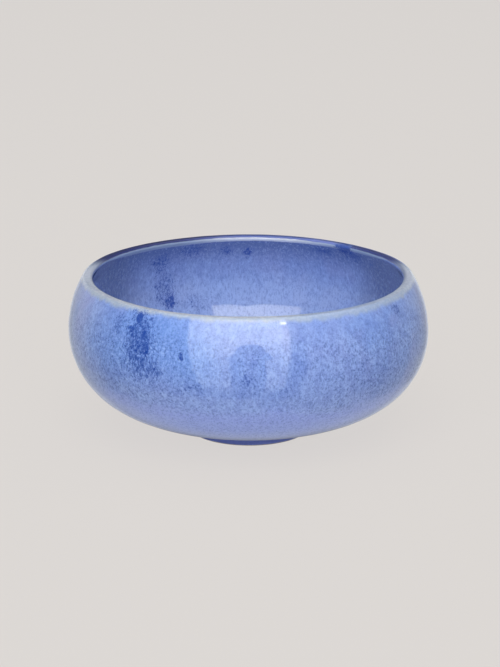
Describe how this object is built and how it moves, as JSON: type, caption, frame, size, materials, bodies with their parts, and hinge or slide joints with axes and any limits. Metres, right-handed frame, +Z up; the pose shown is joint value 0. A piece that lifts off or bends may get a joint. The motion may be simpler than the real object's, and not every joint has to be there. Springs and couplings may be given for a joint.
{
  "type": "flower vase",
  "caption": "Low round bowl-shaped flower vase in speckled blue glazed stoneware, with an inward-leaning shoulder, pale lip and small turned foot ring.",
  "frame": {"origin": "centre of the standing face, on the table plane", "axes": "+Z up along the axis of the turned bowl; the bowl is round, so +X and +Y are free choices, with -Y towards the picture's camera"},
  "size_m": [0.2, 0.2, 0.089],
  "materials": {
    "stoneware": "bare fired stoneware, matt",
    "glaze_inside": "glossy blue reactive glaze with fine dark speckles",
    "glaze_lip": "glossy glaze broken to pale celadon over the lip",
    "glaze_outside": "glossy periwinkle reactive glaze with fine dark speckles and drips",
    "glaze_foot": "glossy dark navy glaze pooled round the foot",
    "glaze_base": "glossy blue glaze in the recess of the foot"
  },
  "bodies": {
    "root": {"clay_bowl": "stoneware", "foot_ring": "stoneware", "inner_glaze": "glaze_inside", "lip_glaze": "glaze_lip", "outer_glaze": "glaze_outside", "foot_glaze": "glaze_foot", "base_glaze": "glaze_base"}
  },
  "joints": []
}
